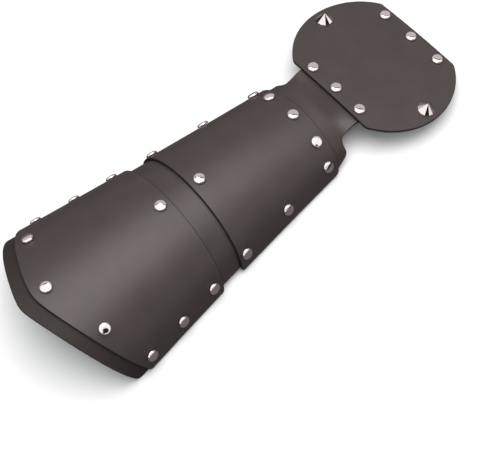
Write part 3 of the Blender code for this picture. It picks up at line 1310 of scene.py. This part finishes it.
def sided(label: str, across: float) -> list[tuple[str, float]]:
    """Names one stud on the centre line, or a pair of them beside it.

    Args:
        label: the name without its side.
        across: 0 on the centre line.

    Returns:
        A name and a sign, which is that of the stud's side, for each.
    """
    if across == 0.0:
        return [(label, 1.0)]
    return [(label + "_left", 1.0), (label + "_right", -1.0)]


@dataclass(frozen=True)
class Stud:
    """A rivet or cone: the solid it stands for, its place under the cap and its grip."""

    node: str
    place: Place
    grip: float

    @property
    def matrix(self) -> Matrix:
        """Sets the stud's own Z along the leather's normal."""
        turn = self.place.normal.to_track_quat("Z", "Y").to_matrix().to_4x4()
        return Matrix.Translation(centred(self.place.point)) @ turn


@dataclass(frozen=True)
class StudShape:
    """What rivets and cones share: the post and the cap on the back of the leather."""

    slot: Slot
    finish: ChromeFinish
    smooth: bool = True
    sides: int = 48
    post: float = 0.0015
    back: float = 0.0037
    back_height: float = 0.0009
    back_rounding: float = 0.0002
    back_shares: Triple = (0.92, 0.86, 0.6)

    def top(self) -> Profile:
        """The profile of the cap, from the top down, as (out, up)."""
        raise NotImplementedError

    def profile(self, grip: float) -> Profile:
        """The whole profile.

        Args:
            grip: from the underside of the cap to the back cap.

        Returns:
            Points (out, up), from the top down.
        """
        upper, lower, flat = (share * self.back for share in self.back_shares)
        foot = -grip - self.back_height
        under = [(self.post, 0.0), (self.post, -grip), (upper, -grip)]
        rim = [(self.back, -grip - self.back_rounding), (lower, foot + self.back_rounding)]
        return [*self.top(), *under, *rim, (flat, foot), (0.0, foot)]

    def turned(self, stud: Stud) -> BMesh:
        """Turns the profile round the stud's axis.

        Args:
            stud: where it stands.

        Returns:
            The closed mesh, in the model's frame.
        """
        mesh = bmesh.new()
        turns = [2.0 * math.pi * side / self.sides for side in range(self.sides)]
        rings = []
        for out, up in self.profile(stud.grip):
            spokes = turns if out else turns[:1]
            points = [(out * math.cos(turn), out * math.sin(turn), up) for turn in spokes]
            rings.append([mesh.verts.new(point) for point in points])
        for upper, lower in zip(rings, rings[1:]):
            for side in range(self.sides):
                after = (side + 1) % self.sides
                corners = [upper[side % len(upper)], lower[side % len(lower)]]
                corners += [lower[after % len(lower)], upper[after % len(upper)]]
                mesh.faces.new(list(dict.fromkeys(corners)))
        bmesh.ops.transform(mesh, matrix=stud.matrix, verts=list(mesh.verts))
        bmesh.ops.recalc_face_normals(mesh, faces=list(mesh.faces))
        return mesh

    def build(self, shop: Workshop, stud: Stud) -> Item:
        """Builds one stud.

        Args:
            shop: the workshop.
            stud: where it stands.

        Returns:
            The piece.
        """
        mesh = self.turned(stud)
        item = shop.piece(mesh, stud.node, (self.finish,), self.smooth)
        if self.smooth:
            even_shading(item, weight=60)
        return item


@dataclass(frozen=True)
class DomeRivet(StudShape):
    """A round rivet with a low domed cap."""

    slot: Slot = Slot.RIVET
    finish: ChromeFinish = RIVET_CHROME
    radius: float = 0.00475
    height: float = 0.0024
    dome: Profile = (
        (0.0, 1.0), (0.2, 0.993), (0.4, 0.972), (0.55, 0.942), (0.68, 0.895), (0.79, 0.82),
        (0.88, 0.705), (0.945, 0.54), (0.985, 0.33), (1.0, 0.14), (0.985, 0.03), (0.95, 0.0),
    )

    def top(self) -> Profile:
        """The profile of the domed cap."""
        return [(self.radius * out, self.height * up) for out, up in self.dome]


@dataclass(frozen=True)
class PointedCone(StudShape):
    """A pointed cone with flat facets."""

    slot: Slot = Slot.CONE
    finish: ChromeFinish = CONE_CHROME
    smooth: bool = False
    sides: int = 12
    radius: float = 0.0068
    height: float = 0.0074
    rim: float = 0.0008

    def top(self) -> Profile:
        """The profile of the cone."""
        return [(0.0, self.height), (self.radius, self.rim), (self.radius, 0.0)]


@dataclass(frozen=True)
class HoleCutter:
    """One rod through the leather for each stud."""

    radius: float = 0.00195
    sides: int = 24

    def build(self, studs: Sequence[Stud]) -> Item:
        """Builds all the rods in one object.

        Args:
            studs: the rivets and cones.

        Returns:
            The cutter.
        """
        mesh = bmesh.new()
        for stud in studs:
            place = Place(stud.place.point - stud.place.normal * LAYERS.cap_lift, stud.place.normal)
            bmesh.ops.create_cone(
                mesh,
                cap_ends=True,
                segments=self.sides,
                radius1=self.radius,
                radius2=self.radius,
                depth=2.0 * (LAYERS.cap_lift + LAYERS.strap),
                matrix=Stud(stud.node, place, stud.grip).matrix,
            )
        return in_scene("rivet_holes", mesh_data("rivet_holes", mesh))


# The studio


@dataclass(frozen=True)
class Softbox:
    """A square area light."""

    label: str
    place: Triple
    aim: Triple
    size: float
    power: float
    colour: Triple

    def build(self) -> Item:
        """Hangs the light.

        Returns:
            The light.
        """
        data = bpy.data.lights.new(self.label, "AREA")
        data.shape = "SQUARE"
        data.size = self.size
        data.energy = self.power
        data.color = self.colour
        item = in_scene(self.label, data)
        item.location = self.place
        way = Vector(self.aim) - Vector(self.place)
        item.rotation_euler = way.to_track_quat("-Z", "Y").to_euler()
        return item


@dataclass(frozen=True)
class MirroredPanels:
    """What shines in the chrome: a near panel, a far one, a dark gap, patches and horizon."""

    near_colour: Triple = (1.15, 1.08, 1.03)
    far_colour: Triple = (0.64, 0.55, 0.58)
    dark_colour: Triple = (0.02, 0.018, 0.018)
    gap_way: Triple = (-0.596, -0.678, 0.430)
    gap_place: float = -0.17
    gap_core: float = 0.025
    gap_half: float = 0.055
    horizon: tuple[float, float] = (0.12, 0.30)
    far_reach: float = 0.45
    far_span: tuple[float, float] = (0.0, 0.5)
    patches: tuple[Triple, ...] = (
        (-0.277, -0.796, 0.539),
        (0.167, -0.735, 0.657),
    )
    patch_edge: tuple[float, float] = (0.965, 0.980)

    def build(self, tree: Tree) -> Socket:
        """Builds the panels' colours by direction.

        Args:
            tree: the world's nodes.

        Returns:
            The colour.
        """
        way = tree.nodes.new("ShaderNodeTexCoord").outputs["Generated"]
        parts = tree.nodes.new("ShaderNodeSeparateXYZ")
        feed(tree, parts, {"Vector": way})
        side = add_dot(tree, way, self.gap_way)
        core, half = self.gap_core, self.gap_half
        near = add_step(tree, side, self.gap_place + core, self.gap_place + half)
        far = add_step(tree, side, self.gap_place - core, self.gap_place - half)
        colour = add_blend(tree, near, self.dark_colour, self.near_colour)
        colour = add_blend(tree, far, colour, self.far_colour)
        for patch in self.patches:
            inside = add_step(tree, add_dot(tree, way, patch), *self.patch_edge)
            colour = add_blend(tree, inside, colour, self.dark_colour)
        farther = add_step(tree, parts.outputs["Y"], *self.far_span)
        raised = add_math(tree, "MULTIPLY_ADD", farther, self.far_reach, parts.outputs["Z"])
        return add_blend(tree, add_step(tree, raised, *self.horizon), self.dark_colour, colour)


KEY_LIGHT = Softbox(
    "key softbox",
    place=(0.10, 0.03, 1.15),
    aim=(0.0, 0.0, 0.0),
    size=1.05,
    power=12.5,
    colour=(1.0, 0.935, 0.92),
)


@dataclass(frozen=True)
class Studio:
    """The pale floor, the soft light and the camera at the photograph's angle."""

    floor_size: float = 12.0
    floor_drop: float = 0.0002
    floor_colour: Triple = (0.91, 0.945, 0.955)
    mirrored_floor: Triple = (0.13, 0.11, 0.12)
    ambient: float = 0.62
    mirrored: MirroredPanels = MirroredPanels()
    light: Softbox = KEY_LIGHT
    camera_place: Triple = (-0.21065, -0.31898, 0.70463)
    azimuth: float = math.radians(-33.873)
    elevation: float = math.radians(64.607)
    roll: float = math.radians(-7.658)
    lens: float = 74.17
    sensor: float = 36.0

    def build(self) -> None:
        """Builds the floor, the light and the camera."""
        self.build_floor()
        self.build_world()
        self.light.build()
        self.build_camera()
        settings = bpy.context.scene.view_settings
        settings.view_transform = "Standard"
        settings.look = "None"
        settings.exposure = 0.0

    def build_floor(self) -> None:
        """Lays the pale floor, which shows darker in the chrome than it is."""
        material, tree, shader = new_material("pale floor")
        mirrored = tree.nodes.new("ShaderNodeLightPath").outputs["Is Glossy Ray"]
        colour = add_blend(tree, mirrored, self.floor_colour, self.mirrored_floor)
        feed(tree, shader, {"Base Color": colour, "Roughness": 0.9, "Specular IOR Level": 0.1})
        half = 0.5 * self.floor_size
        data = bpy.data.meshes.new("studio_floor")
        corners = [(-half, -half, 0.0), (half, -half, 0.0), (half, half, 0.0), (-half, half, 0.0)]
        data.from_pydata(corners, [], [(0, 1, 2, 3)])
        data.materials.append(material)
        floor = in_scene("studio_floor", data)
        floor.location.z = -self.floor_drop

    def build_world(self) -> None:
        """Sets a soft surround, and the two plain panels that the chrome shows."""
        world = bpy.data.worlds.new("plain surround")
        world.use_nodes = True
        tree = world.node_tree
        mirrored = tree.nodes.new("ShaderNodeLightPath").outputs["Is Glossy Ray"]
        colour = add_blend(tree, mirrored, (self.ambient,) * 3, self.mirrored.build(tree))
        feed(tree, tree.nodes["Background"], {"Color": colour})
        bpy.context.scene.world = world

    def build_camera(self) -> None:
        """Sets the camera where the photograph was taken from."""
        back = Vector((
            math.sin(self.azimuth) * math.cos(self.elevation),
            -math.cos(self.azimuth) * math.cos(self.elevation),
            math.sin(self.elevation),
        ))
        level = Vector((0.0, 0.0, 1.0)).cross(back).normalized()
        upright = back.cross(level)
        right = math.cos(self.roll) * level + math.sin(self.roll) * upright
        upward = math.cos(self.roll) * upright - math.sin(self.roll) * level
        data = bpy.data.cameras.new("photo camera")
        data.lens = self.lens
        data.sensor_width = self.sensor
        data.clip_start = 0.01
        camera = in_scene("photo camera", data)
        turn = Matrix((right, upward, back)).transposed().to_4x4()
        camera.matrix_world = Matrix.Translation(self.camera_place) @ turn
        bpy.context.scene.camera = camera


# The bracer as a whole


@dataclass
class Bracer:
    """The outlines of the leather sheets and everything that is built on them."""

    sleeve_fall: float = 0.0347
    sleeve_peak: float = 0.05
    sleeve_corner: float = 0.0045
    waist_depth: float = 0.0045
    waist_length: float = 0.0400
    waist_runout: float = 0.0300
    cuff_depth: float = 0.0065
    cuff_runout: float = 0.0220
    reveal: float = 0.0114
    forearm_length: float = 0.1187
    forearm_fall: float = 0.0340
    forearm_peak: float = 0.09
    forearm_end_curve: float = 0.0068
    forearm_corner: float = 0.0020
    forearm_inset: float = 0.0111
    strip_between: float = 0.0186
    cuff_reveal: float = 0.0097
    wrist_start_curve: float = 0.0055
    wrist_end_curve: float = 0.0045
    wrist_corner: float = 0.0040
    wrist_inset: float = 0.0087
    plate_inset: float = 0.0014

    def forearm_first(self, share: float) -> float:
        """The forearm plate's pointed edge."""
        return self.reveal + peaked(self.forearm_fall, self.forearm_peak, share)

    def forearm_last(self, share: float) -> float:
        """The forearm plate's curved edge towards the wrist plate."""
        return self.reveal + self.forearm_length - self.forearm_end_curve * share * share

    def wrist_first(self, share: float) -> float:
        """The wrist plate's curved edge towards the forearm plate."""
        return self.forearm_last(0.0) + self.strip_between - self.wrist_start_curve * share * share

    def wrist_last(self, share: float) -> float:
        """The wrist plate's edge at the cuff."""
        return SLEEVE_FORM.length - self.cuff_reveal - self.wrist_end_curve * share * share

    def sleeve_inset(self, along: float) -> float:
        """How far the sleeve's side edge is drawn in, between the plates and at the cuff.

        Args:
            along: the distance from the elbow peak.

        Returns:
            The distance that it is drawn in.
        """
        middle = 0.5 * (self.forearm_last(1.0) + self.wrist_first(1.0))
        beyond = abs(along - middle) - 0.5 * self.waist_length
        waist = self.waist_depth * smooth_step(1.0 - beyond / self.waist_runout)
        from_end = (SLEEVE_FORM.length - along) / self.cuff_runout
        return waist + self.cuff_depth * smooth_step(1.0 - from_end)

    def sleeve(self) -> Sleeve:
        """The sleeve with its outline.

        Returns:
            The sleeve.
        """
        outline = SheetOutline(
            first=lambda share: peaked(self.sleeve_fall, self.sleeve_peak, share),
            last=lambda share: SLEEVE_FORM.length,
            side_inset=self.sleeve_inset,
            corner=self.sleeve_corner,
            lift=0.0,
        )
        return Sleeve("base_sleeve", outline)

    def plate_outline(self, first: Edge, last: Edge, corner: float) -> SheetOutline:
        """The outline of a plate between two edges."""
        return SheetOutline(first, last, lambda along: self.plate_inset, corner, LAYERS.plate_lift)

    def forearm_plate(self) -> CurvedPlate:
        """The plate at the elbow end, with its rivets.

        Returns:
            The plate.
        """
        spots = (
            RivetSpot("elbow_peak", 0.0, 0.0),
            RivetSpot("elbow_mid", 0.0, 0.50),
            RivetSpot("elbow_corner", 0.0, 1.0),
            RivetSpot("side", 0.5, 1.0),
            RivetSpot("seam_corner", 1.0, 1.0, 1.07),
            RivetSpot("seam_centre", 1.0, 0.0, 0.97),
        )
        outline = self.plate_outline(self.forearm_first, self.forearm_last, self.forearm_corner)
        return CurvedPlate("forearm_plate", outline, self.forearm_inset, spots)

    def wrist_plate(self) -> CurvedPlate:
        """The plate at the wrist, with its rivets.

        Returns:
            The plate.
        """
        spots = (
            RivetSpot("seam_centre", 0.0, 0.0),
            RivetSpot("seam_corner", 0.0, 1.0, 0.80),
            RivetSpot("side", 0.5, 1.0),
            RivetSpot("cuff_corner", 1.0, 1.0, 1.17),
            RivetSpot("cuff_mid", 1.0, 0.55),
            RivetSpot("cuff_centre", 1.0, 0.0, 1.02),
        )
        outline = self.plate_outline(self.wrist_first, self.wrist_last, self.wrist_corner)
        return CurvedPlate("wrist_plate", outline, self.wrist_inset, spots)

    def build(self, shop: Workshop) -> None:
        """Builds every piece of the bracer, the leather first.

        Args:
            shop: the workshop.
        """
        forearm, wrist, hand = self.forearm_plate(), self.wrist_plate(), HandPlate("hand_plate")
        rivets = forearm.studs() + wrist.studs() + hand.rivets()
        cones = hand.cones()
        shop.cutter = HoleCutter().build(rivets + cones)
        leather = (
            self.sleeve(),
            forearm,
            wrist,
            hand,
            ClosingStrap("elbow_strap", forearm),
            ClosingStrap("wrist_strap", wrist),
        )
        for sheet in leather:
            sheet.build(shop)
        bpy.data.objects.remove(shop.cutter, do_unlink=True)
        for stud in rivets:
            DomeRivet().build(shop, stud)
        for stud in cones:
            PointedCone().build(shop, stud)


def main() -> None:
    """Builds the bracer and the studio in order."""
    logging.basicConfig(level=logging.INFO, format="%(name)s: %(message)s")
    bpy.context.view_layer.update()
    Bracer().build(Workshop())
    Studio().build()


if __name__ == "__main__":
    main()
